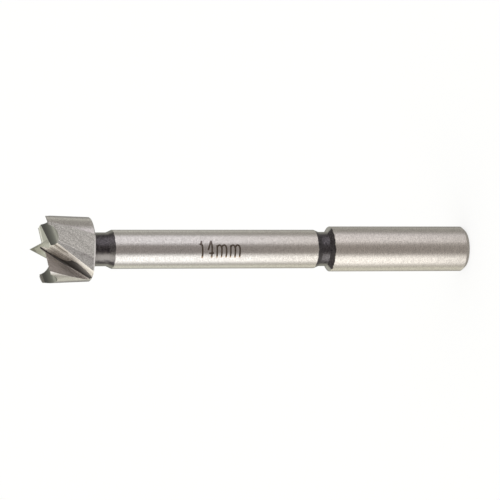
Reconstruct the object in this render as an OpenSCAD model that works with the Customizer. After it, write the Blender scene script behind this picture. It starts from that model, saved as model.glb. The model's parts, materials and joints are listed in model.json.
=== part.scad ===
// Forstner bit: one bar of tool steel, turned along its length and milled at the head.
// It stands on the end of its shank, with its axis on +Z and the centre point uppermost.

/* [Shank] */
// Diameter of the shank, held by the chuck
shank_d = 9.5; // [8.6:0.1:13]
// Length of the shank, with both chamfers
shank_len = 31; // [20:1:60]
// Height of the chamfer round the shank's end
shank_end_chamfer = 0.85; // [0.3:0.05:1.5]
// Chamfer angle of the shank's end, from the axis
shank_end_angle = 41; // [20:1:60]
// Height of the chamfer at the shank's front
shank_front_chamfer = 0.8; // [0.3:0.05:1.5]

/* [Relief groove] */
// Diameter at the bottom of the groove between shank and body
relief_d = 7.2; // [6:0.1:7.8]
// Width of the groove's flat bottom
relief_len = 1.7; // [1:0.1:4]

/* [Body] */
// Diameter of the body
body_d = 8.1; // [7.6:0.1:8.5]
// Length of the body, with both chamfers
body_len = 46; // [25:1:80]
// Height of the chamfer at the body's back
body_back_chamfer = 1.05; // [0.4:0.05:2]
// Height of the cone at the body's front
body_front_cone = 1.2; // [0.5:0.05:3]

/* [Neck] */
// Diameter of the neck behind the head
neck_d = 7; // [5:0.1:7.4]
// Length of the neck
neck_len = 3.6; // [2:0.1:8]

/* [Head] */
// Cutting diameter, across the spurs
head_d = 14; // [13:0.5:18]
// Length of the head, from its back edge to the spur tips
head_len = 9.5; // [8.5:0.25:13]
// Back taper of the head on each side, in degrees
head_taper = 2; // [0:0.25:3]
// Slope of the head's back face, in degrees
back_slope = 8; // [0:1:20]
// Chamfer round the head's back edge
back_chamfer = 0.15; // [0.1:0.05:0.8]

/* [Centre point] */
// Height of the point above the lips
point_h = 3.1; // [2:0.1:4]
// Included angle of the point, in degrees
point_angle = 55; // [40:1:70]

/* [Lips] */
// Turn of the lips about the axis, in degrees
lip_turn = 47; // [0:1:180]
// How far each lip lies ahead of the centre
lip_web = 0.46; // [0.2:0.02:0.8]
// How far the lips lie below the spur tips
lip_drop = 0.1; // [0:0.05:0.6]
// Hook of the rake face under each lip, in degrees
lip_hook = 21; // [5:0.5:25]
// Relief behind each lip, in degrees
lip_relief = 16; // [8:1:25]

/* [Gullets] */
// Turn of the gullet's wall from its lip, in degrees
wall_turn = 32; // [28:1:46]
// Lean of the gullet's wall from the axis, in degrees
wall_lean = 13.5; // [0:0.5:15]
// Distance from the axis to the gullet's wall, at the lips
wall_reach = 2.9; // [2.7:0.1:4.5]
// Distance along the lip from the centre to the notch
notch_in = 0.9; // [0.5:0.05:1.5]
// Slant of the notch away from the axis, in degrees
notch_slant = 29; // [22:1:36]
// Included angle of the notch, in degrees
notch_angle = 82; // [60:1:100]
// Radius in the bottom of the notch
notch_r = 0.25; // [0.1:0.05:0.6]

/* [Spur grooves] */
// Thickness of the spur at its middle
spur_wall = 0.5; // [0.3:0.05:1]
// Distance from the axis to the groove
groove_in = 1.8; // [1.4:0.1:2.6]
// Turn of the groove from its lip, in degrees
groove_turn = 11; // [0:1:16]
// Depth of the groove below the lips
groove_depth = 2.1; // [1.5:0.05:3]

/* [Hidden] */
$fn = 96;

// Radii
shank_r = shank_d / 2;
relief_r = relief_d / 2;
body_r = body_d / 2;
neck_r = neck_d / 2;
head_r = head_d / 2;
back_r = head_r - head_len * tan(head_taper);
foot_r = shank_r - shank_end_chamfer * tan(shank_end_angle);
groove_r = (head_r - spur_wall - groove_in) / 2;

// Heights above the shank's end
relief_z = shank_len;
body_z = relief_z + relief_len;
neck_z = body_z + body_len;
head_z = neck_z + neck_len;
spur_z = head_z + head_len;
lip_z = spur_z - lip_drop;
tip_z = lip_z + point_h;

// Depth of the head's hollow back, the foot of the point, and a cutter's reach past the head
back_drop = (back_r - neck_r) * tan(back_slope);
point_foot_z = head_z + head_len / 2;
point_foot_r = (tip_z - point_foot_z) * tan(point_angle / 2);
reach = 2 * head_d;

// Half section of the bar as it leaves the lathe
module bar_section() {
    polygon([
        [0, 0],
        [foot_r, 0],
        [shank_r, shank_end_chamfer],
        [shank_r, relief_z - shank_front_chamfer],
        [relief_r, relief_z],
        [relief_r, body_z],
        [body_r, body_z + body_back_chamfer],
        [body_r, neck_z - body_front_cone],
        [neck_r, neck_z],
        [neck_r, head_z - back_drop],
        [back_r - back_chamfer, head_z],
        [back_r, head_z + back_chamfer],
        [head_r, spur_z],
        [0, spur_z]
    ]);
}

// The cone of the centre point, with its foot inside the head
module centre_point() {
    translate([0, 0, point_foot_z])
        cylinder(h = tip_z - point_foot_z, r1 = point_foot_r, r2 = 0);
}

// Everything above the relief face of one lip
module lip_relief_cut() {
    translate([0, lip_web, lip_z])
        rotate([lip_relief, 0, 0]) {
            translate([0, -groove_in - groove_r, 0])
                cube([reach, groove_in + groove_r, reach]);
            translate([-groove_in, -groove_in - groove_r, 0])
                cube([groove_in, groove_in + groove_r - 2 * lip_web, reach]);
        }
}

// The round-bottomed groove that parts one lip from its spur
module spur_groove() {
    rotate([0, 0, groove_turn])
        translate([0, -groove_in - groove_r, lip_z - groove_depth + groove_r])
            rotate([90, 0, 90])
                linear_extrude(height = 2 * reach, center = true) {
                    circle(r = groove_r);
                    translate([-groove_r, 0])
                        square([2 * groove_r, reach]);
                }
}

// Section of the notch: one side is the rake face, the other the ramp that lifts the chip
module notch_section() {
    half = notch_angle / 2;
    run = notch_r / tan(half);
    union() {
        polygon([
            [run, 0],
            [reach, 0],
            [reach, reach],
            [reach * cos(notch_angle), reach * sin(notch_angle)],
            [run * cos(notch_angle), run * sin(notch_angle)],
            [run, notch_r]
        ]);
        translate([run, notch_r])
            circle(r = notch_r);
    }
}

// The notch under one lip, slanting out from the centre to the head's back edge
module chip_notch() {
    translate([notch_in, lip_web, lip_z])
        rotate([-lip_hook, 0, 0])
            rotate([0, -notch_slant, 0])
                linear_extrude(height = 2 * reach, center = true)
                    notch_section();
}

// The open side of one gullet, ahead of the rake face and outside its flat wall
module gullet_side() {
    intersection() {
        translate([0, lip_web, lip_z])
            rotate([-lip_hook, 0, 0])
                translate([-reach, 0, -reach])
                    cube(2 * reach);
        translate([0, 0, lip_z])
            rotate([0, 0, wall_turn])
                rotate([0, -wall_lean, 0])
                    translate([wall_reach, -reach, -reach])
                        cube(2 * reach);
    }
}

module forstner_bit() {
    color([0.72, 0.71, 0.69])
        rotate([0, 0, lip_turn])
            difference() {
                union() {
                    difference() {
                        rotate_extrude()
                            bar_section();
                        for (side = [0, 180])
                            rotate([0, 0, side])
                                lip_relief_cut();
                    }
                    centre_point();
                }
                for (side = [0, 180])
                    rotate([0, 0, side]) {
                        spur_groove();
                        chip_notch();
                        gullet_side();
                    }
            }
}

forstner_bit();
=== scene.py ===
import json
import math

import bmesh
import bpy
from mathutils import Matrix, Vector


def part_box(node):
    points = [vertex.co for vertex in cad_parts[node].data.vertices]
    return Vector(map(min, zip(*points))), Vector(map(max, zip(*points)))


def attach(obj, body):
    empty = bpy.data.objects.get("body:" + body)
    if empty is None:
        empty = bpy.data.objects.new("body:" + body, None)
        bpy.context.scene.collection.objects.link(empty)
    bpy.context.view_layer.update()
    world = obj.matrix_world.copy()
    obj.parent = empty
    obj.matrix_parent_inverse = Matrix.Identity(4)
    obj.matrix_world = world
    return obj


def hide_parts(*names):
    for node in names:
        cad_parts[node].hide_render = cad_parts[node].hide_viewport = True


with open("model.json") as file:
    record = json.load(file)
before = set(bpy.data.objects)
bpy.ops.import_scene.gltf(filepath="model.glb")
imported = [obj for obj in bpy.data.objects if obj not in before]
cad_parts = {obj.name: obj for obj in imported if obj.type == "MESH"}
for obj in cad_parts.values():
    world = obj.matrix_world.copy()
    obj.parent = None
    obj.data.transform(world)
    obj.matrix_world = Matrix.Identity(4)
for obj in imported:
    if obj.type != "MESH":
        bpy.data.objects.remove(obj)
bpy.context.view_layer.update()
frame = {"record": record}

mm = 0.001
near = 0.001                               # mm within which two places are the same
opposite = -0.999                          # product of two normals that face each other
white = (1, 1, 1)
print("frame loaded")


# A shader socket that can be added, multiplied and mixed
class Wire:
    def __init__(self, tree, socket=None):
        self.tree = tree
        self.socket = socket

    # any node: its type, then its settings, then the values or links of its sockets
    def node(self, kind, settings=None, sockets=None, out=0):
        made = self.tree.nodes.new(kind)
        for name, value in (settings or {}).items():
            if name == "stops":
                setStops(made.color_ramp, value)
            else:
                setattr(made, name, value)
        for name, value in (sockets or {}).items():
            self.plug(made.inputs[name], value)
        return Wire(self.tree, made.outputs[out])

    # another output of the same node
    def other(self, out):
        return Wire(self.tree, self.socket.node.outputs[out])

    def plug(self, socket, value):
        if isinstance(value, Wire):
            self.tree.links.new(value.socket, socket)
        else:
            socket.default_value = value

    def maths(self, operation, first, second=0.0, clamp=False):
        settings = {"operation": operation, "use_clamp": clamp}
        return self.node("ShaderNodeMath", settings, {0: first, 1: second})

    # the second colour where this mask is 1
    def mix(self, first, second, blend="MIX"):
        settings = {"data_type": "RGBA", "blend_type": blend}
        return self.node("ShaderNodeMix", settings, {0: self, 6: rgb(first), 7: rgb(second)}, 2)

    def tint(self, colour, other):
        return self.mix(colour, other, "MULTIPLY")

    def clamp(self):
        return self.maths("ADD", self, 0.0, True)

    # from 0 where the value is 0 up to 1 where it has risen so much
    def ramp(self, rise):
        return self.maths("DIVIDE", self, rise, True)

    # a soft step, half way up where the value is 0
    def edge(self, soft):
        return (self + soft / 2).ramp(soft)

    def size(self):
        return self.maths("ABSOLUTE", self)

    def dot(self, other):
        settings = {"operation": "DOT_PRODUCT"}
        return self.node("ShaderNodeVectorMath", settings, {0: self, 1: other}, "Value")

    def __neg__(self):
        return self.maths("SUBTRACT", 0.0, self)

    def __add__(self, other):
        return self.maths("ADD", self, other)

    def __radd__(self, other):
        return self.maths("ADD", other, self)

    def __sub__(self, other):
        return self.maths("SUBTRACT", self, other)

    def __rsub__(self, other):
        return self.maths("SUBTRACT", other, self)

    def __mul__(self, other):
        return self.maths("MULTIPLY", self, other)

    def __rmul__(self, other):
        return self.maths("MULTIPLY", other, self)

    def __truediv__(self, other):
        return self.maths("DIVIDE", self, other)

    def __rtruediv__(self, other):
        return self.maths("DIVIDE", other, self)


def setStops(ramp, stops):
    while len(ramp.elements) < len(stops):
        ramp.elements.new(1.0)
    for element, (place, level) in zip(ramp.elements, stops):
        element.position = place
        element.color = (level, level, level, 1.0)


def rgb(colour):
    return colour if isinstance(colour, Wire) else (*colour, 1.0)


def turn(degrees, axis):
    return Matrix.Rotation(math.radians(degrees), 4, axis)


def move(x, y, z):
    return Matrix.Translation((x, y, z))


def slope(degrees):
    return math.tan(math.radians(degrees))


def addToScene(name, data):
    made = bpy.data.objects.new(name, data)
    bpy.context.scene.collection.objects.link(made)
    return made


def addObject(name, bm, materials):
    mesh = bpy.data.meshes.new(name)
    bm.to_mesh(mesh)
    bm.free()
    for material in materials:
        mesh.materials.append(material)
    return addToScene(name, mesh)


def newMaterial(name):
    made = bpy.data.materials.new(name)
    made.use_nodes = True
    return made, Wire(made.node_tree)


# The studio: a light tent of panels round the bit; a panel is the middle, half width and soft edge
# of its bearing from the camera's side, in degrees, and its light
tent = {
    "back": (0.34, 0.33, 0.31),
    "panels": {
        "upperGap": (108, 16, 16, (0.50, 0.485, 0.455)),
        "upperBack": (135, 11, 18, (0.72, 0.715, 0.655)),
        "lowerGap": (-101, 12, 16, (0.57, 0.55, 0.51)),
        "lowerBack": (-128, 18, 18, (0.90, 0.895, 0.79)),
        "coolPanel": (55, 32.5, 20, (1.09, 1.06, 1.09)),
        "warmPanel": (-55, 33, 24, (1.66, 1.65, 1.635)),
        "cameraSide": (-3, 31.5, 25, (0.36, 0.328, 0.317)),
    },
    "roof": (0.80, 0.80, 0.71),
    "roofFrom": 0.35,                      # rise of the heading, 1 straight up
    "roofSoft": 0.30,
    "table": (0.44, 0.425, 0.405),
    "tableFrom": -0.45,
    "tableSoft": 0.25,
}


def lightTent():
    world = bpy.data.worlds.new("lightTent")
    bpy.context.scene.world = world
    world.use_nodes = True
    wires = Wire(world.node_tree)
    heading = wires.node("ShaderNodeTexCoord", out="Generated")
    across = wires.node("ShaderNodeSeparateXYZ", {}, {"Vector": heading})
    away = across.other("Y")
    up = across.other("Z")
    bearing = wires.maths("ARCTAN2", across, -away) * math.degrees(1)
    light = tent["back"]
    for middle, half, soft, panel in tent["panels"].values():
        inside = half - (bearing - middle).size()
        light = inside.edge(soft).mix(light, panel)
    light = (up - tent["roofFrom"]).ramp(tent["roofSoft"]).mix(light, tent["roof"])
    light = (tent["tableFrom"] - up).ramp(tent["tableSoft"]).mix(light, tent["table"])
    seen = wires.node("ShaderNodeLightPath", out="Is Camera Ray")
    wires.plug(world.node_tree.nodes["Background"].inputs["Color"], seen.mix(light, white))


floorSizes = {
    "half": 3.0,                           # metres
    "colour": (0.92, 0.92, 0.92),
    "glow": 0.8,                           # share of plain white that the camera sees
    "lamp": 1.05,
    "lampAngle": 80,
}


def paleFloor():
    bm = bmesh.new()
    bmesh.ops.create_grid(bm, x_segments=1, y_segments=1, size=floorSizes["half"])
    made, wires = newMaterial("paleFloor")
    card = wires.node("ShaderNodeBsdfDiffuse", {}, {"Color": rgb(floorSizes["colour"])})
    glow = wires.node("ShaderNodeEmission", {}, {"Color": rgb(white), "Strength": 1.0})
    rays = wires.node("ShaderNodeLightPath")
    seen = rays.other("Is Camera Ray") + rays.other("Is Glossy Ray") + rays.other("Is Transmission Ray")
    seen = seen.clamp() * floorSizes["glow"]
    both = wires.node("ShaderNodeMixShader", {}, {0: seen, 1: card, 2: glow})
    wires.plug(made.node_tree.nodes["Material Output"].inputs["Surface"], both)
    floor = addObject("floor", bm, [made])
    floor.visible_glossy = False           # the metal mirrors the tent
    floor.visible_shadow = False
    lamp = bpy.data.lights.new("floorLamp", "SUN")
    lamp.energy = floorSizes["lamp"]
    lamp.angle = math.radians(floorSizes["lampAngle"])
    overhead = addToScene("floorLamp", lamp)
    overhead.visible_glossy = False


# The camera, with the bit's point to the left of the picture, in mm and degrees
shot = {"aim": (-0.19, 0, 47.6), "distance": 640, "tilt": 16.5, "roll": -0.1, "lens": 219.8}


def addCamera():
    tilt = math.radians(shot["tilt"])
    back = Vector((0, -math.cos(tilt), math.sin(tilt)))
    up = Vector((1, 0, 0))
    facing = Matrix((up.cross(back), up, back)).transposed().to_4x4()
    data = bpy.data.cameras.new("camera")
    data.lens = shot["lens"]
    camera = addToScene("camera", data)
    place = (Vector(shot["aim"]) + back * shot["distance"]) * mm
    camera.matrix_world = Matrix.Translation(place) @ facing @ turn(shot["roll"], "Z")
    bpy.context.scene.camera = camera


# The bar as turned and the cuts in its head, in mm and degrees; the shank comes from its mount
shankMount = next(m for m in frame["record"]["mounts"] if m["name"] == "shank")
shankR = shankMount["dims"]["r_mm"]
shankLow = shankMount["pos_m"][2] / mm - shankMount["dims"]["length_mm"] / 2
shankTop = shankMount["pos_m"][2] / mm + shankMount["dims"]["length_mm"] / 2
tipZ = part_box("forstner_bit")[1].z / mm

bar = {
    "endAngle": 41,
    "frontChamfer": 0.8,
    "reliefR": 3.6,
    "reliefLen": 1.7,
    "bodyR": 4.05,
    "bodyLen": 46,
    "backChamfer": 1.05,
    "frontCone": 1.2,
    "neckR": 3.5,
    "neckLen": 3.6,
    "steps": 192,
    "edgeRound": 0.06,
    "edgeSteps": 2,
    "edgeAngle": 15,                       # edges sharper than this are rounded
}
head = {
    "radius": 7.0,
    "len": 9.5,
    "taper": 2,
    "backSlope": 8,
    "backChamfer": 0.15,
    "lipDrop": 0.1,
    "pointAngle": 55,
    "lipTurn": 47,
    "lipWeb": 0.46,
    "lipHook": 21,
    "lipRelief": 16,
    "wallTurn": 32,
    "wallLean": 13.5,
    "wallReach": 2.9,
    "notchIn": 0.9,
    "notchSlant": 29,
    "notchAngle": 82,
    "notchR": 0.25,
    "notchSteps": 6,
    "spurWall": 0.5,
    "grooveIn": 1.8,
    "grooveTurn": 11,
    "grooveDepth": 2.1,
    "grooveSteps": 24,
    "sharpAngle": 24,                      # edges sharper than this stay crisp in the shading
}
reliefZ = shankTop + bar["frontChamfer"]
bodyZ = reliefZ + bar["reliefLen"]
neckZ = bodyZ + bar["bodyLen"]
headZ = neckZ + bar["neckLen"]
spurZ = headZ + head["len"]
lipZ = spurZ - head["lipDrop"]
backR = head["radius"] - head["len"] * slope(head["taper"])
backDrop = (backR - bar["neckR"]) * slope(head["backSlope"])
grooveR = (head["radius"] - head["spurWall"] - head["grooveIn"]) / 2
reach = 4 * head["radius"]                 # of a cutter past the head


def turnedBar():
    footR = shankR - shankLow * slope(bar["endAngle"])
    outline = [
        (0, 0),
        (footR, 0),
        (shankR, shankLow),
        (shankR, shankTop),
        (bar["reliefR"], reliefZ),
        (bar["reliefR"], bodyZ),
        (bar["bodyR"], bodyZ + bar["backChamfer"]),
        (bar["bodyR"], neckZ - bar["frontCone"]),
        (bar["neckR"], neckZ),
        (bar["neckR"], headZ - backDrop),
        (backR - head["backChamfer"], headZ),
        (backR, headZ + head["backChamfer"]),
        (head["radius"], spurZ),
        (0, spurZ),
    ]
    bm = bmesh.new()
    ring = [bm.verts.new((r, 0, z)) for r, z in outline]
    edges = [bm.edges.new(pair) for pair in zip(ring, ring[1:])]
    bmesh.ops.spin(
        bm,
        geom=ring + edges,
        axis=(0, 0, 1),
        angle=math.tau,
        steps=bar["steps"],
        use_merge=True,
    )
    bmesh.ops.remove_doubles(bm, verts=bm.verts, dist=near)
    bmesh.ops.recalc_face_normals(bm, faces=bm.faces)
    least = math.radians(bar["edgeAngle"])
    sharp = [e for e in bm.edges if e.calc_face_angle(0) > least and topOf(e) < spurZ - near]
    roundOff(bm, sharp, bar["edgeRound"], bar["edgeSteps"])
    return bm


def topOf(edge):
    return max(v.co.z for v in edge.verts)


def roundOff(bm, edges, offset, steps):
    bmesh.ops.bevel(
        bm,
        geom=edges,
        offset=offset,
        affect="EDGES",
        segments=steps,
        profile=0.5,
        material=-1,
    )


def centrePoint():
    footZ = headZ + head["len"] / 2
    height = tipZ - footZ
    footR = height * slope(head["pointAngle"] / 2)
    steps = bar["steps"] // 2
    bm = bmesh.new()
    bmesh.ops.create_cone(bm, cap_ends=True, segments=steps, radius1=footR, radius2=0, depth=height)
    bmesh.ops.translate(bm, verts=bm.verts, vec=(0, 0, footZ + height / 2))
    return bm


# a flat outline pulled up into a prism
def prism(outline, height):
    bm = bmesh.new()
    base = bm.faces.new([bm.verts.new((x, y, 0)) for x, y in outline])
    made = bmesh.ops.extrude_face_region(bm, geom=[base])
    top = [v for v in made["geom"] if isinstance(v, bmesh.types.BMVert)]
    bmesh.ops.translate(bm, verts=top, vec=(0, 0, height))
    bmesh.ops.recalc_face_normals(bm, faces=bm.faces)
    return bm


# all that lies above the relief of one lip
def reliefCutter():
    depth = head["grooveIn"] + grooveR
    behind = -2 * head["lipWeb"]
    outline = [
        (-head["grooveIn"], -depth),
        (reach, -depth),
        (reach, 0),
        (0, 0),
        (0, behind),
        (-head["grooveIn"], behind),
    ]
    bm = prism(outline, reach)
    bm.transform(move(0, head["lipWeb"], lipZ) @ turn(head["lipRelief"], "X"))
    return bm


# the round-bottomed groove between one lip and its spur
def grooveCutter():
    bm = prism([(-grooveR, 0), (grooveR, 0), (grooveR, reach), (-grooveR, reach)], 2 * reach)
    corners = [e for e in bm.edges if isUpright(e) and e.verts[0].co.y < near]
    roundOff(bm, corners, grooveR - near, head["grooveSteps"])
    bm.transform(move(0, 0, -reach))
    bm.transform(turn(90, "Z") @ turn(90, "X"))
    middle = -head["grooveIn"] - grooveR
    bm.transform(turn(head["grooveTurn"], "Z") @ move(0, middle, lipZ - head["grooveDepth"]))
    return bm


def isUpright(edge):
    first, second = edge.verts
    return abs(first.co.x - second.co.x) < near and abs(first.co.y - second.co.y) < near


# One gullet's faces: the rake face under the lip, the flat wall and the ramp that lifts the chip
notchSide = math.radians(head["notchAngle"])
rakeFrame = move(0, head["lipWeb"], lipZ) @ turn(-head["lipHook"], "X")
rampFrame = rakeFrame @ move(head["notchIn"], 0, 0) @ turn(-head["notchSlant"], "Y")
wallFrame = move(0, 0, lipZ) @ turn(head["wallTurn"], "Z") @ turn(-head["wallLean"], "Y")
rakeOut = rakeFrame.to_3x3() @ Vector((0, 1, 0))
rampOut = rampFrame.to_3x3() @ Vector((math.sin(notchSide), -math.cos(notchSide), 0))
wallOut = wallFrame.to_3x3() @ Vector((1, 0, 0))


# all that lies ahead of the rake face, less the core inside the wall and under the ramp
def gulletCutter():
    ahead = bmesh.new()
    bmesh.ops.create_cube(ahead, size=2 * reach)
    bmesh.ops.translate(ahead, verts=ahead.verts, vec=(0, reach, 0))
    ahead.transform(rakeFrame)
    core = bmesh.new()
    bmesh.ops.create_cube(core, size=6 * reach)
    bmesh.ops.translate(core, verts=core.verts, vec=(0, 0, lipZ))
    trim(core, wallFrame @ Vector((head["wallReach"], 0, 0)), wallOut)
    trim(core, rampFrame.translation, rampOut)
    wedge = addObject("wedge", core, [])
    bm = bmesh.new()
    bm.from_mesh(carved(addObject("ahead", ahead, []), [("DIFFERENCE", wedge)]))
    line = rampFrame.to_3x3() @ Vector((0, 0, 1))
    bottom = [e for e in bm.edges if onLine(e, rampFrame.translation, line)]
    roundOff(bm, bottom, head["notchR"] / slope(head["notchAngle"] / 2), head["notchSteps"])
    for face in bm.faces:
        face.normal_update()
        if face.normal.dot(rakeOut) < opposite:
            face.material_index = 0
        elif face.normal.dot(wallOut) < opposite:
            face.material_index = 1
        else:
            face.material_index = 2
    return bm


def trim(bm, point, outward):
    parts = bm.verts[:] + bm.edges[:] + bm.faces[:]
    cut = bmesh.ops.bisect_plane(bm, geom=parts, plane_co=point, plane_no=outward, clear_outer=True)
    rim = [e for e in cut["geom_cut"] if isinstance(e, bmesh.types.BMEdge)]
    bmesh.ops.edgenet_fill(bm, edges=rim)
    bmesh.ops.recalc_face_normals(bm, faces=bm.faces)


def onLine(edge, point, line):
    return all((v.co - point).cross(line).length < near for v in edge.verts)


def carved(target, cuts):
    for operation, other in cuts:
        cut = target.modifiers.new("cut", "BOOLEAN")
        cut.operation = operation
        cut.solver = "EXACT"
        cut.material_mode = "TRANSFER"
        cut.object = other
    bpy.context.view_layer.update()
    graph = bpy.context.evaluated_depsgraph_get()
    mesh = bpy.data.meshes.new_from_object(target.evaluated_get(graph))
    for used in [target] + [other for operation, other in cuts]:
        bpy.data.objects.remove(used)
    return mesh


# The ways that tool marks run on the head: a frame along them, and the bearing of the side
# of the axis where the first cut of the pair lies
grooveAxes = turn(head["lipTurn"] + head["grooveTurn"], "Z")
grooveAxes = grooveAxes @ move(0, -head["grooveIn"] - grooveR, lipZ - head["grooveDepth"])
flankAxes = turn(head["lipTurn"], "Z") @ move(0, head["lipWeb"], lipZ) @ turn(head["lipRelief"], "X")
lays = {
    "round": (Matrix.Identity(4), None),
    "notch": (turn(head["lipTurn"], "Z") @ rampFrame, head["lipTurn"] + head["wallTurn"]),
    "groove": (grooveAxes, head["lipTurn"] + head["grooveTurn"] - 90),
    "flank": (flankAxes, head["lipTurn"]),
}

# Finishes of the steel; marks are counts per mm along the lay's axes, and grain is the shares
# of those marks and of the specks in the colour
# each face's dark and light carry painted reflection tints as well as the steel's own tone
finishes = {
    "turned": {
        "lay": "round",
        "dark": (0.48, 0.461, 0.442),
        "light": (0.765, 0.743, 0.712),
        "rough": (0.19, 0.29),
        "marks": (1.6, 1.6, 5.0),
        "grain": (1.4, 3.6),
        "bump": 0.18,
        "anisotropy": 0.5,
    },
    "milledWall": {
        "lay": "notch",
        "dark": (0.325, 0.312, 0.30),
        "light": (0.78, 0.762, 0.745),
        "rough": (0.42, 0.58),
        "marks": (2.6, 2.6, 0.10),
        "grain": (0.8, 3.8),
        "bump": 0.05,
        "anisotropy": 0.0,
    },
    "rakeFace": {
        "lay": "notch",
        "dark": (0.28, 0.252, 0.231),
        "light": (0.71, 0.664, 0.63),
        "rough": (0.55, 0.70),
        "marks": (3.0, 3.0, 0.5),
        "grain": (2.0, 7.0),
        "bump": 0.10,
        "anisotropy": 0.0,
    },
    "chipRamp": {
        "lay": "notch",
        "dark": (0.52, 0.47, 0.42),
        "light": (1.0, 0.955, 0.90),
        "rough": (0.50, 0.64),
        "marks": (2.6, 2.6, 0.12),
        "grain": (3.4, 2.6),
        "bump": 0.15,
        "anisotropy": 0.0,
    },
    "spurGroove": {
        "lay": "groove",
        "dark": (0.54, 0.54, 0.50),
        "light": (0.75, 0.75, 0.70),
        "rough": (0.28, 0.40),
        "marks": (0.8, 3.0, 3.0),
        "grain": (1.1, 1.6),
        "bump": 0.08,
        "anisotropy": 0.0,
    },
    "centrePoint": {
        "lay": "round",
        "dark": (0.39, 0.385, 0.335),
        "light": (0.51, 0.50, 0.44),
        "rough": (0.25, 0.35),
        "marks": (1.6, 1.6, 5.0),
        "grain": (1.1, 1.6),
        "bump": 0.06,
        "anisotropy": 0.0,
    },
    "lipFlank": {
        "lay": "flank",
        "dark": (0.54, 0.54, 0.49),
        "light": (0.68, 0.68, 0.63),
        "rough": (0.25, 0.35),
        "marks": (1.0, 3.0, 3.0),
        "grain": (1.1, 1.6),
        "bump": 0.06,
        "anisotropy": 0.0,
    },
}
grain = {
    "specks": (7.0, 7.0, 7.0),             # per mm
    "detail": 2.0,
    "depth": 0.05,
    "edgeRound": 0.12,
    "edgeSamples": 6,
    "anisotropyTurn": 0.25,
}


# a place in mm along a lay's axes, where a half turn brings the second cut of a pair onto the first
def layOf(wires, name):
    where = wires.node("ShaderNodeTexCoord", out="Object")
    axes, bearing = lays[name]
    if bearing is not None:
        side = wires.maths("SIGN", where.dot(turn(bearing, "Z") @ Vector((1, 0, 0))))
        half = wires.node("ShaderNodeCombineXYZ", {}, {0: side, 1: side, 2: 1.0})
        where = wires.node("ShaderNodeVectorMath", {"operation": "MULTIPLY"}, {0: where, 1: half})
    return [where.dot(Vector(row[:3]) / mm) + row[3] for row in axes.inverted()[:3]]


# noise about zero, with so many marks per mm along each axis
def marksOn(wires, lay, perMm):
    scaled = {n: axis * count for n, (axis, count) in enumerate(zip(lay, perMm))}
    where = wires.node("ShaderNodeCombineXYZ", {}, scaled)
    sockets = {"Vector": where, "Scale": 1.0, "Detail": grain["detail"]}
    return wires.node("ShaderNodeTexNoise", {}, sockets, "Fac") - 0.5


def steel(name):
    values = finishes[name]
    made, wires = newMaterial(name)
    lay = layOf(wires, values["lay"])
    marks = marksOn(wires, lay, values["marks"])
    dots = marksOn(wires, lay, grain["specks"])
    marksShare, dotsShare = values["grain"]
    shade = (marks * marksShare + dots * dotsShare + 0.5).clamp()
    low, high = values["rough"]
    colour = shade.mix(values["dark"], values["light"])
    rough = high - shade * (high - low)
    colour, rough = paints[name](wires, lay, shade, colour, rough)
    shader = made.node_tree.nodes["Principled BSDF"]
    shader.inputs["Metallic"].default_value = 1.0
    shader.inputs["Anisotropic"].default_value = values["anisotropy"]
    shader.inputs["Anisotropic Rotation"].default_value = grain["anisotropyTurn"]
    wires.plug(shader.inputs["Base Color"], colour)
    wires.plug(shader.inputs["Roughness"], rough)
    samples = {"samples": grain["edgeSamples"]}
    sockets = {
        "Strength": values["bump"],
        "Distance": grain["depth"] * mm,
        "Height": marks + dots,
        "Normal": wires.node("ShaderNodeBevel", samples, {"Radius": grain["edgeRound"] * mm}),
    }
    wires.plug(shader.inputs["Normal"], wires.node("ShaderNodeBump", {}, sockets))
    return made


# The shank is ground warmer and rougher than the body, with painted shade on its upper side, and each
# rake face has a land behind it
ground = {
    "shankFrom": (62, 30),                 # heights between which the grinding changes
    "shankTint": (1.035, 1.005, 0.957),
    "shankRough": 0.09,
    "upperShade": (0.72, 0.73, 0.76),
    "upperFrom": 0.35,                     # share of the shank's radius above the axis
    "rimTint": (0.86, 0.85, 0.85),
    "rimRough": -0.06,
    "land": (0.74, 0.715, 0.675),
    "landWide": 1.15,
    "landNarrows": 0.24,                   # mm per mm below the lip
    "landSoft": 0.25,
}


def groundBar(wires, lay, shade, colour, rough):
    across = lay[0]
    height = lay[2]
    first, last = ground["shankFrom"]
    shank = (first - height).ramp(first - last)
    upperShaded = (across / shankR - ground["upperFrom"]).ramp(1 - ground["upperFrom"])
    rim = (height - headZ).clamp()
    colour = shank.tint(colour, ground["shankTint"])
    # painted shade on the shank's upper side
    colour = (shank * upperShaded).tint(colour, ground["upperShade"])
    colour = rim.tint(colour, ground["rimTint"])
    ahead = layOf(wires, "notch")[1]
    wide = ground["landWide"] - (lipZ - height) * ground["landNarrows"]
    land = (ahead + wide).ramp(ground["landSoft"]) * (-ahead).edge(ground["landSoft"])
    colour = (land * rim).mix(colour, ground["land"])
    rough = rough + shank * ground["shankRough"] + rim * ground["rimRough"]
    return blackNecks(wires, lay, shade, colour), rough


# Black oxide is left in the necks, with a painted sheen below the axis and painted highlights along the
# outlines
oxide = {
    "dark": (0.040, 0.036, 0.039),
    "light": (0.148, 0.137, 0.144),
    "edge": 0.10,                          # mm over which the black stops
    "ragged": 0.5,                         # mm that its edge wanders
    "raggedMarks": (0.9, 0.9, 0.9),
    "sheen": (0.23, 0.215, 0.205),
    "sheenRelief": 0.25,                     # share of the painted sheen in the relief groove
    "sheenMiddle": 0.46,                     # shares of the neck's radius below the axis
    "sheenHalf": 0.24,
    "sheenSoft": 0.20,
    "sheenPatch": 2.4,
    "sheenMarks": (1.3, 1.3, 2.0),
    "outlineSheen": (0.34, 0.335, 0.305),          # painted highlight along the necks' outlines
    "outlineSheenFrom": 0.82,
    "chamferShade": (0.55, 0.52, 0.55),     # painted shade on the shank's front chamfer
    "chamferSheen": (0.80, 0.80, 0.75),     # and a painted highlight along its outline
    "paintedPalerFrom": 0.90,
}


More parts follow.
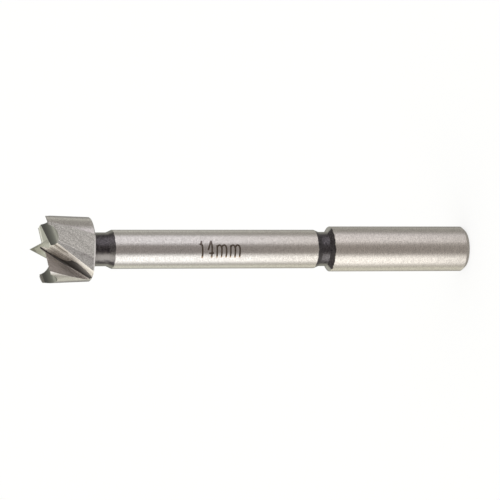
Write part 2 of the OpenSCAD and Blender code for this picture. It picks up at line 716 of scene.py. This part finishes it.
def blackNecks(wires, lay, shade, colour):
    across, away, height = lay
    height = height + marksOn(wires, lay, oxide["raggedMarks"]) * oxide["ragged"]
    necks = [
        (shankTop, bodyZ + bar["backChamfer"], oxide["sheenRelief"]),
        (neckZ - bar["frontCone"], headZ, 1.0),
    ]
    black = 0.0
    sheenShare = 0.0
    for low, high, share in necks:
        inside = (high - low) / 2 - (height - (low + high) / 2).size()
        inside = inside.edge(oxide["edge"])
        black = inside + black
        sheenShare = inside * share + sheenShare
    # painted sheen on the necks below the axis, mottled
    below = (across / bar["neckR"] + oxide["sheenMiddle"]).size()
    patch = marksOn(wires, lay, oxide["sheenMarks"]) * oxide["sheenPatch"]
    sheen = ((oxide["sheenHalf"] - below) / oxide["sheenSoft"] + 0.5 + patch).clamp() * sheenShare
    skin = sheen.mix(shade.mix(oxide["dark"], oxide["light"]), oxide["sheen"])
    # painted shade on the front chamfer, with a painted highlight along its outline
    chamfer = (reliefZ - height).edge(oxide["edge"])
    skin = chamfer.tint(skin, oxide["chamferShade"])
    # painted highlight along the necks' outlines, where they are seen edge-on
    sideways = across.size() / wires.maths("SQRT", across * across + away * away)
    outlineSheen = (sideways - oxide["outlineSheenFrom"]).ramp(1 - oxide["outlineSheenFrom"])
    skin = (outlineSheen * (1 - chamfer)).mix(skin, oxide["outlineSheen"])
    paintedPaler = (sideways - oxide["paintedPalerFrom"]).ramp(1 - oxide["paintedPalerFrom"])
    skin = (paintedPaler * chamfer).mix(skin, oxide["chamferSheen"])
    return black.mix(colour, skin)


# Painted shade in the crease at the bottom of the notch, widest half way along, with the brown round it
# and a painted highlight along the ramp's ridge; lengths are mm up the ramp, or mm from the lip back
# along the notch
notchColours = {
    "length": 12.0,                        # along the notch, over which the stops run
    "wide": 2.05,                          # up the ramp
    "stops": [
        (0, 0.11),
        (0.21, 0.15),
        (0.31, 0.26),
        (0.39, 0.43),
        (0.44, 0.66),
        (0.46, 0.92),
        (0.56, 1),
        (0.68, 0.94),
        (0.80, 0.81),
        (0.89, 0.59),
        (0.96, 0.30),
    ],
    "edge": 0.12,
    "ragged": 0.25,
    "raggedMarks": (1.5, 1.5, 0.8),
    # painted shade in the crease, speckled, and its paler part further back and up the ramp
    "black": (0.075, 0.069, 0.066),
    "shadeSpeckle": (0.135, 0.126, 0.120),
    "paintedPaler": (0.295, 0.274, 0.259),
    "paintedPalerFrom": 5.5,                       # along the notch
    "paintedPalerSoft": 4.0,
    "paintedPalerUp": 0.6,                         # up the ramp
    "paintedPalerUpSoft": 1.2,
    "grey": (0.52, 0.48, 0.45),            # under the painted shade, at its back
    "greyUp": 0.4,
    "greyFrom": 4.0,                       # along the notch
    "greySoft": 5.0,
    "brown": (0.154, 0.134, 0.118),
    "tan": (0.475, 0.43, 0.385),
    "brownWide": 2.0,
    "brownFrom": 0.9,                      # along the notch
    "brownTo": 6.0,
    "brownSoft": 2.0,
    # painted highlight along the ramp's ridge
    "pale": (1.0, 0.955, 0.90),
    "ridgeShineWide": 0.9,
    "ridge": (3.95, 0.133),                # up the ramp to its ridge, less so much per mm along
    "streak": (0.27, 0.23, 0.19),
    "streakUp": 2.76,
    "streakHalf": 0.22,
    "streakMiddle": 2.3,                   # along the notch
    "streakReach": 1.7,
    "streakSoft": 0.33,
}


def shadedNotch(wires, lay, shade, colour, rough):
    up = lay[1]
    back = -lay[2]
    stops = {"stops": notchColours["stops"]}
    wide = wires.node("ShaderNodeValToRGB", stops, {"Fac": back / notchColours["length"]})
    wander = marksOn(wires, lay, notchColours["raggedMarks"]) * notchColours["ragged"]
    beyond = up + wander - wide * notchColours["wide"]
    front = (notchColours["brownTo"] - back).edge(notchColours["brownSoft"])
    front = front * (back - notchColours["brownFrom"]).edge(notchColours["brownSoft"])
    brown = (notchColours["brownWide"] - beyond).ramp(notchColours["brownWide"]) * front
    colour = brown.mix(colour, shade.mix(notchColours["brown"], notchColours["tan"]))
    top, falls = notchColours["ridge"]
    # painted highlight along the ramp's ridge
    pale = (notchColours["ridgeShineWide"] - (top - back * falls - up)).ramp(notchColours["ridgeShineWide"])
    colour = pale.mix(colour, notchColours["pale"])
    streak = (notchColours["streakHalf"] - (up + wander - notchColours["streakUp"]).size()).ramp(notchColours["streakHalf"])
    along = notchColours["streakReach"] - (back - notchColours["streakMiddle"]).size()
    colour = (streak * along.edge(notchColours["streakSoft"])).mix(colour, notchColours["streak"])
    # the painted shade turns paler towards its back and up the ramp
    paintedPaler = (back - notchColours["paintedPalerFrom"]).ramp(notchColours["paintedPalerSoft"])
    paintedPaler = paintedPaler * (up - notchColours["paintedPalerUp"]).ramp(notchColours["paintedPalerUpSoft"])
    creaseShade = shade.mix(notchColours["black"], notchColours["shadeSpeckle"])
    # painted shade in the crease at the bottom of the notch
    colour = (-beyond).edge(notchColours["edge"]).mix(colour, paintedPaler.mix(creaseShade, notchColours["paintedPaler"]))
    greyTop = (back - notchColours["greyFrom"]).ramp(notchColours["greySoft"]) * notchColours["greyUp"]
    return (greyTop - up).ramp(notchColours["edge"]).mix(colour, notchColours["grey"]), rough


# The cutter's second pass leaves a faint step along the wall, near the ramp; it is painted, not
# modelled: a painted highlight along it at the front, painted shade beside it, and a painted highlight
# along the head's back edge
step = {
    "up": 0.20,                            # mm above the ramp, at the lip
    "rises": 0.106,                        # mm per mm back along the notch
    "edge": 0.10,
    "dark": (0.82, 0.82, 0.83),            # painted shade between the step and the ramp
    "light": (0.95, 0.93, 0.91),           # painted highlight along the step
    "highlightTo": 7.0,                        # mm back along the notch
    "highlightSoft": 2.0,
    "shade": (0.86, 0.84, 0.85),           # painted shade beside the step, further back
    "shadeIn": 0.20,
    "shadeHalf": 0.35,
    "paintedPaler": (0.86, 0.84, 0.83),            # painted highlight along the head's back edge
    "paintedPalerWide": 0.20,
}


def paintedStep(wires, lay, shade, colour, rough):
    across, ahead, along = lay
    inside = across * math.sin(notchSide) - ahead * math.cos(notchSide)
    inside = inside + step["up"] - along * step["rises"]
    # painted shade between the step and the ramp, a painted highlight along the step at the front,
    # painted shade beside it further back
    colour = inside.edge(step["edge"]).tint(colour, step["dark"])
    front = (along + step["highlightTo"]).ramp(step["highlightSoft"])
    line = (step["edge"] - inside.size()).ramp(step["edge"]) * shade
    colour = (line * front).mix(colour, step["light"])
    beside = (step["shadeHalf"] - (inside - step["shadeIn"]).size()).ramp(step["shadeHalf"])
    colour = (beside * (1 - front)).tint(colour, step["shade"])
    # painted highlight along the head's back edge
    height = layOf(wires, "round")[2] - headZ
    paintedPaler = (step["paintedPalerWide"] - height).ramp(step["paintedPalerWide"])
    return paintedPaler.mix(colour, step["paintedPaler"]), rough


# The rake faces are rubbed paler along the back of the notch
rub = {"light": (1.0, 0.93, 0.87), "least": 0.5, "wide": 1.5, "begin": 1.0, "soft": 3.0}


def rubbedRake(wires, lay, shade, colour, rough):
    beside = (rub["wide"] - lay[0]).ramp(rub["wide"])
    back = (-lay[2] - rub["begin"]).ramp(rub["soft"])
    paler = (shade * (1 - rub["least"]) + rub["least"]).mix(colour, rub["light"])
    return (beside * back).mix(colour, paler), rough


# The grooves carry painted shade, darkest up by the lip and none at the bottom
groove = {
    "dark": (0.115, 0.115, 0.107),
    "height": 1.6,                         # mm above the bottom, over which the stops run
    "stops": [(0, 0), (0.05, 0.15), (0.10, 0.42), (0.20, 0.78), (0.40, 0.93), (0.75, 1)],
    "bevel": (0.285, 0.276, 0.25),         # painted shading of the bevel inside the spur's edge, which is not modelled
    "bevelDepth": 0.5,
    "bevelSoft": 0.1,
}


def shadedGroove(wires, lay, shade, colour, rough):
    across, height = lay[1:]
    stops = {"stops": groove["stops"]}
    dark = wires.node("ShaderNodeValToRGB", stops, {"Fac": height / groove["height"]})
    # painted shade in the groove, darkest up by the lip
    colour = dark.mix(colour, groove["dark"])
    # painted shading of the spur's inner bevel, which is not modelled
    bevelFoot = head["grooveDepth"] + head["lipDrop"] - groove["bevelDepth"]
    bevel = (height - bevelFoot).ramp(groove["bevelSoft"])
    outer = (-across).ramp(groove["bevelSoft"])
    return (bevel * outer).mix(colour, groove["bevel"]), rough


# The flanks carry a painted highlight along the lip
flank = {"highlight": (1.0, 1.0, 0.95), "wide": 0.65, "soft": 0.25}


def lipHighlight(wires, lay, shade, colour, rough):
    # painted highlight along the lip
    highlight = (lay[1] + flank["wide"]).ramp(flank["soft"])
    return highlight.mix(colour, flank["highlight"]), rough


# The centre point is paler at its foot
foot = {"pale": (0.54, 0.54, 0.485), "below": 2.0, "soft": 0.8}


def paleFoot(wires, lay, shade, colour, rough):
    pale = (tipZ - foot["below"] - lay[2]).ramp(foot["soft"])
    return pale.mix(colour, foot["pale"]), rough


paints = {
    "turned": groundBar,
    "milledWall": paintedStep,
    "rakeFace": rubbedRake,
    "chipRamp": shadedNotch,
    "spurGroove": shadedGroove,
    "centrePoint": paleFoot,
    "lipFlank": lipHighlight,
}


def buildBit():
    looks = {name: steel(name) for name in finishes}
    blank = addObject("blank", turnedBar(), [looks["turned"]])
    cuts = []
    for side in (0, 180):
        cuts.append(("DIFFERENCE", cutterAt(side, "relief", reliefCutter(), [looks["lipFlank"]])))
    cuts.append(("UNION", cutterAt(0, "point", centrePoint(), [looks["centrePoint"]])))
    gullet = [looks["rakeFace"], looks["milledWall"], looks["chipRamp"]]
    for side in (0, 180):
        cuts.append(("DIFFERENCE", cutterAt(side, "groove", grooveCutter(), [looks["spurGroove"]])))
        cuts.append(("DIFFERENCE", cutterAt(side, "gullet", gulletCutter(), gullet)))
    mesh = carved(blank, cuts)
    mesh.transform(Matrix.Scale(mm, 4))
    for face in mesh.polygons:
        face.use_smooth = True
    mesh.set_sharp_from_angle(angle=math.radians(head["sharpAngle"]))
    mesh.name = "bit"
    bit = addToScene("bit", mesh)
    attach(bit, "root")
    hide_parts("forstner_bit")
    print("bit:", len(mesh.polygons), "faces,", [m.name for m in mesh.materials])


def cutterAt(side, name, bm, materials):
    bm.transform(turn(head["lipTurn"] + side, "Z"))
    return addObject(name, bm, materials)


# The size mark: single strokes, etched dark on the body; x runs along the bit, y round it, in mm
mark = {
    "startZ": 59.9,
    "width": 0.36,
    "stand": 0.006,
    "penRound": 2,
    "penSteps": 24,
    "one": [
        [(0.28, 0.88), (0.60, 1.28), (0.72, 1.80)],
        [(0.60, 1.28), (0.81, 0.68), (0.88, -0.28), (0.90, -1.1), (0.87, -1.90)],
    ],
    "four": [
        [(2.77, 1.82), (2.42, 0.85), (2.06, -0.18)],
        [(2.30, -0.88), (3.36, -0.80)],
        [(2.77, 1.82), (2.92, 0.5), (2.93, -0.6), (2.89, -1.84)],
    ],
    "m": [
        [(0, 0.82), (0.03, -0.5), (0.02, -1.82)],
        [(0.02, 0.42), (0.30, 0.78), (0.66, 0.80), (0.96, 0.36), (1.02, -0.5), (1.01, -1.82)],
        [(1.01, 0.42), (1.32, 0.80), (1.68, 0.82), (1.97, 0.36), (2.03, -0.5), (2.0, -1.80)],
    ],
    "mPlaces": [4.01, 6.93],
    "dark": (0.042, 0.031, 0.023),
    "light": (0.120, 0.090, 0.066),
    "spots": (3, 3, 3),                    # per mm
    "spotShare": 2,
    "tan": (0.50, 0.36, 0.24),             # painted highlight at the strokes' feet
    "footHighlightFrom": 1.36,                       # mm below the axis
    "footHighlightSoft": 0.30,
    "pale": (0.21, 0.175, 0.17),           # paler at their tops
    "paleFrom": 0.75,                      # mm above the axis
    "paleSoft": 0.9,
    "rough": (0.37, 0.62),
    "metallic": 0.6,
}


def etchedMark():
    made, wires = newMaterial("etchedMark")
    lay = layOf(wires, "round")
    across = lay[0]
    spots = (marksOn(wires, lay, mark["spots"]) * mark["spotShare"] + 0.5).clamp()
    paleTops = (across - mark["paleFrom"]).ramp(mark["paleSoft"])
    # painted highlight at the strokes' feet, below the axis
    footHighlight = (-across - mark["footHighlightFrom"]).ramp(mark["footHighlightSoft"])
    colour = paleTops.mix(spots.mix(mark["dark"], mark["light"]), mark["pale"])
    colour = footHighlight.mix(colour, mark["tan"])
    low, high = mark["rough"]
    shader = made.node_tree.nodes["Principled BSDF"]
    shader.inputs["Metallic"].default_value = mark["metallic"]
    wires.plug(shader.inputs["Base Color"], colour)
    wires.plug(shader.inputs["Roughness"], high - spots * (high - low))
    return made


def sizeMark():
    strokes = mark["one"] + mark["four"]
    for left in mark["mPlaces"]:
        strokes += [[(left + x, y) for x, y in stroke] for stroke in mark["m"]]
    curve = bpy.data.curves.new("strokes", "CURVE")
    curve.dimensions = "3D"
    curve.bevel_depth = mark["width"] / 2
    curve.bevel_resolution = mark["penRound"]
    curve.use_fill_caps = True
    for points in strokes:
        spline = curve.splines.new("BEZIER")
        spline.bezier_points.add(len(points) - 1)
        for knot, (x, y) in zip(spline.bezier_points, points):
            knot.co = (x, y, 0)
            knot.handle_left_type = "AUTO"
            knot.handle_right_type = "AUTO"
        spline.resolution_u = mark["penSteps"]
    pen = addToScene("pen", curve)
    bpy.context.view_layer.update()
    graph = bpy.context.evaluated_depsgraph_get()
    mesh = bpy.data.meshes.new_from_object(pen.evaluated_get(graph))
    bpy.data.objects.remove(pen)
    for vert in mesh.vertices:
        x, y, lift = vert.co               # wrapped round the body and pressed nearly flat
        radius = bar["bodyR"] + lift / mark["width"] * 2 * mark["stand"]
        angle = y / bar["bodyR"]
        vert.co = (radius * math.sin(angle), -radius * math.cos(angle), mark["startZ"] - x)
    mesh.transform(Matrix.Scale(mm, 4))
    mesh.materials.append(etchedMark())
    mesh.name = "sizeMark"
    etched = addToScene("sizeMark", mesh)
    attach(etched, "root")
    print("size mark:", len(mesh.polygons), "faces")


bpy.context.scene.view_settings.view_transform = "Standard"
addCamera()
lightTent()
paleFloor()
print("studio ready")
buildBit()
sizeMark()
